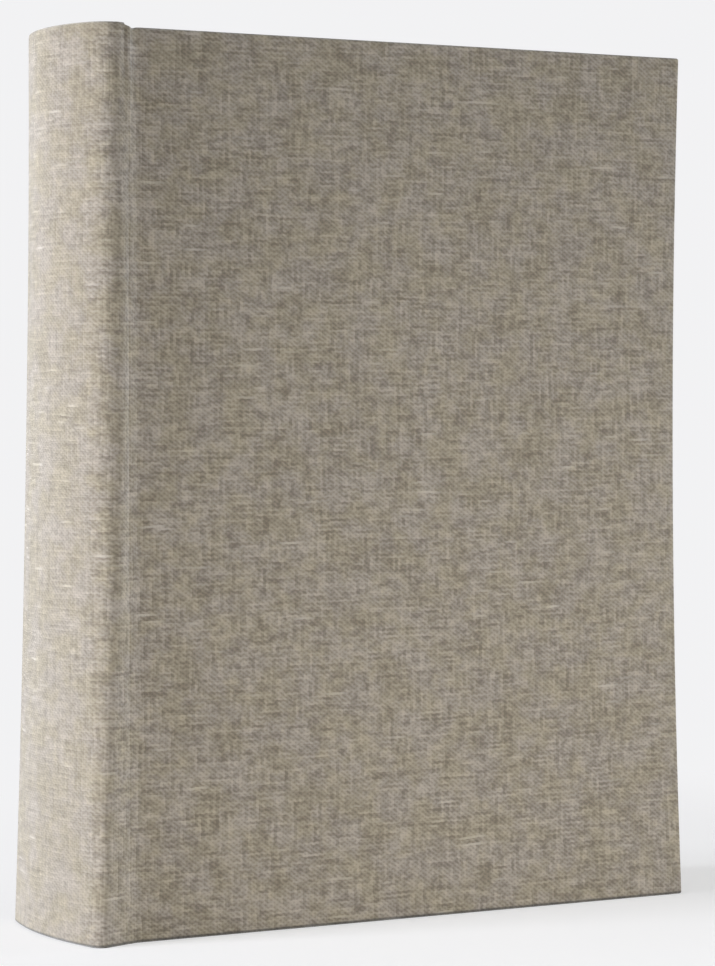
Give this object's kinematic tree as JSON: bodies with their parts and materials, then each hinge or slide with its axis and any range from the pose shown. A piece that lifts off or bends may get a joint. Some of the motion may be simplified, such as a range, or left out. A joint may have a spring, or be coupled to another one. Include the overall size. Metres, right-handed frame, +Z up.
{
  "type": "photo album",
  "caption": "Linen-covered photo album with a rounded spine, two hinged board covers and a thick block of card leaves; stands on its tail.",
  "frame": {"origin": "centre of the album's bounding box, on the surface it stands on", "axes": "+Z up from tail to head, +X from the spine to the fore-edge, the front cover faces -Y"},
  "size_m": [0.1822, 0.0508, 0.2285],
  "materials": {
    "linen": "natural undyed linen book cloth, plain weave with slubs",
    "leaf_card": "uncoated off-white card, cut edges",
    "endpaper": "smooth uncoated off-white paper",
    "greyboard": "bare grey bookbinding board",
    "gauze": "open cotton gauze glued under thin paper",
    "band_cotton": "woven off-white cotton bead"
  },
  "bodies": {
    "book": {"page_block": "leaf_card", "spine_lining": "gauze", "head_band": "band_cotton", "tail_band": "band_cotton", "spine_stiffener": "greyboard", "spine_cloth": "linen", "front_flyleaf": "endpaper", "back_flyleaf": "endpaper"},
    "front_cover": {"front_board": "greyboard", "front_cloth": "linen", "front_pastedown": "endpaper"},
    "back_cover": {"back_board": "greyboard", "back_cloth": "linen", "back_pastedown": "endpaper"}
  },
  "joints": [
    {"name": "front_cover_hinge", "type": "hinge", "parent": "book", "child": "front_cover", "pos_m": [-0.0754, -0.023, 0], "axis": [0, -0.0066, -1], "range_deg": [0, 155]},
    {"name": "back_cover_hinge", "type": "hinge", "parent": "book", "child": "back_cover", "pos_m": [-0.0754, 0.023, 0], "axis": [0, -0.025, 0.9997], "range_deg": [0, 155]}
  ]
}
